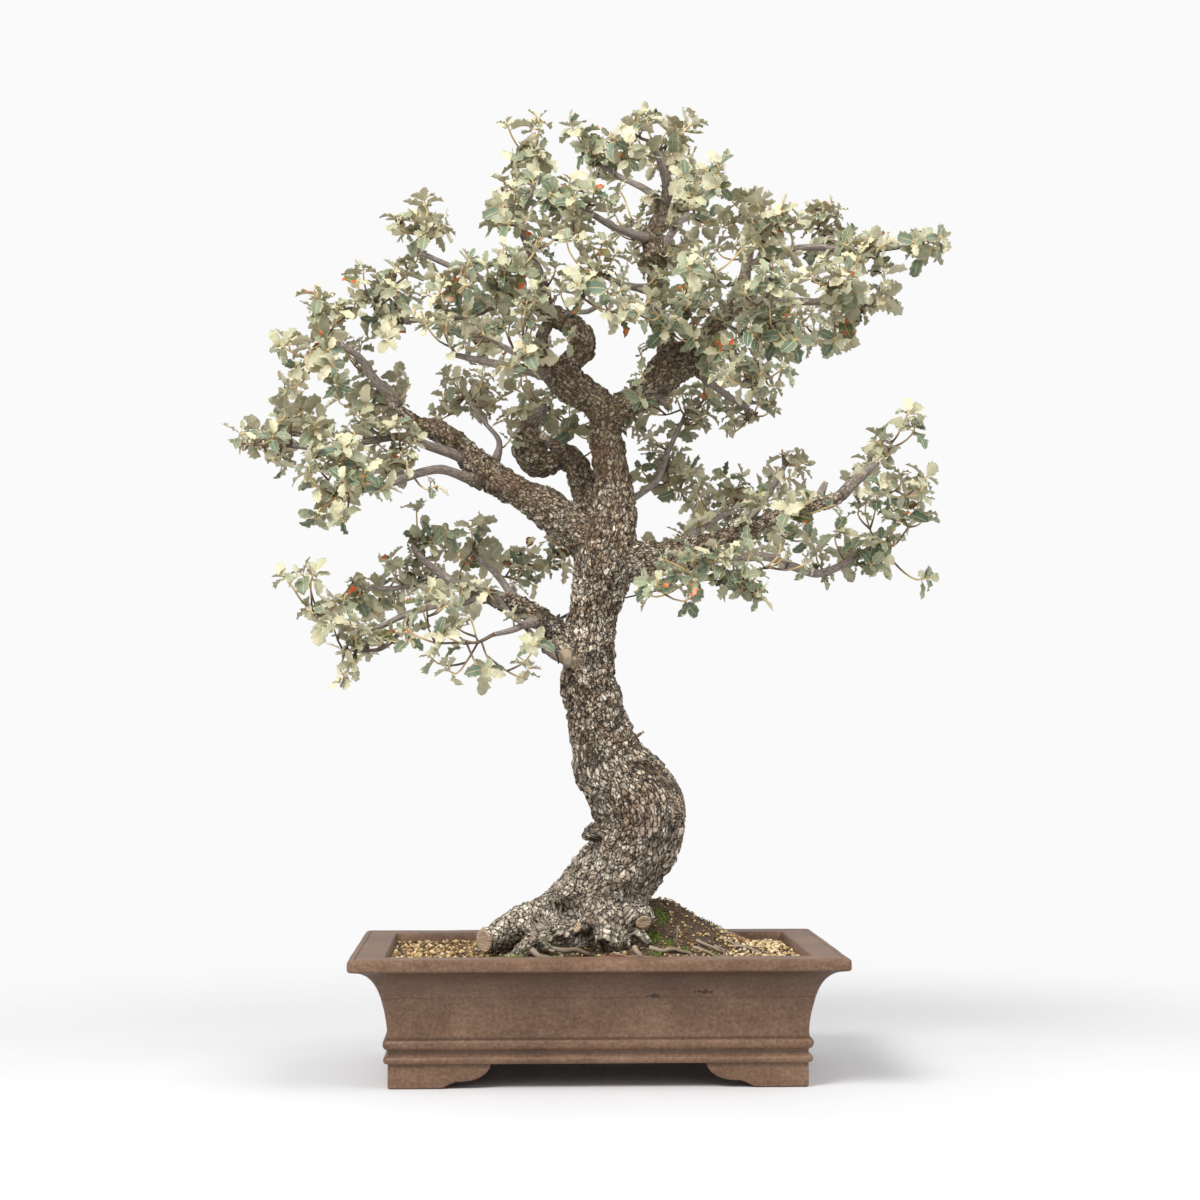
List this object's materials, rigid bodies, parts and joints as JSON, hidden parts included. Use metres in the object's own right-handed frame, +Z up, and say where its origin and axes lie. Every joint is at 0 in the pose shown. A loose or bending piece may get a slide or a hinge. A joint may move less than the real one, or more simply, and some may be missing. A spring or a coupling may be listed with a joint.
{
  "type": "holm oak bonsai",
  "caption": "Holm oak bonsai with a bent, deeply barked trunk and open leafy crown, standing in a rectangular unglazed clay pot on corner feet.",
  "frame": {"origin": "bottom centre of the whole plant's box, in the plane that the pot's feet stand on", "axes": "+Z up, +X to the viewer's right along the pot's long side, +Y away from the viewer"},
  "size_m": [0.7062, 0.3554, 0.931],
  "materials": {
    "clay": "unglazed, matt",
    "soil": "fine gravel with moss",
    "bark": "cracked bark",
    "leaf_grey": "leathery, felted beneath",
    "leaf_pale": "leathery, felted beneath",
    "leaf_green": "leathery, waxy",
    "wire": "dark coated wire",
    "drain_mesh": "moulded"
  },
  "bodies": {
    "root": {"drain_mesh_left": "drain_mesh", "drain_mesh_right": "drain_mesh", "guy_wire": "wire", "pot": "clay", "soil": "soil", "spray_01": "leaf_grey", "spray_02": "leaf_pale", "spray_03": "leaf_grey", "spray_04": "leaf_green", "spray_05": "leaf_grey", "spray_06": "leaf_pale", "spray_07": "leaf_grey", "spray_08": "leaf_green", "spray_09": "leaf_grey", "spray_10": "leaf_pale", "spray_11": "leaf_grey", "spray_12": "leaf_green", "spray_13": "leaf_grey", "spray_14": "leaf_pale", "spray_15": "leaf_grey", "spray_16": "leaf_green", "spray_17": "leaf_grey", "spray_18": "leaf_pale", "spray_19": "leaf_grey", "spray_20": "leaf_green", "spray_21": "leaf_grey", "spray_22": "leaf_pale", "spray_23": "leaf_grey", "spray_24": "leaf_green", "spray_25": "leaf_grey", "spray_26": "leaf_pale", "spray_27": "leaf_grey", "spray_28": "leaf_green", "spray_29": "leaf_grey", "spray_30": "leaf_pale", "spray_31": "leaf_grey", "spray_32": "leaf_green", "spray_33": "leaf_grey", "spray_34": "leaf_pale", "spray_35": "leaf_grey", "spray_36": "leaf_green", "spray_37": "leaf_grey", "spray_38": "leaf_pale", "spray_39": "leaf_grey", "spray_40": "leaf_green", "spray_41": "leaf_grey", "spray_42": "leaf_pale", "spray_43": "leaf_grey", "spray_44": "leaf_green", "spray_45": "leaf_grey", "spray_46": "leaf_pale", "spray_47": "leaf_grey", "spray_48": "leaf_green", "spray_49": "leaf_grey", "spray_50": "leaf_pale", "spray_51": "leaf_grey", "spray_52": "leaf_green", "trunk_and_branches": "bark"}
  },
  "joints": []
}
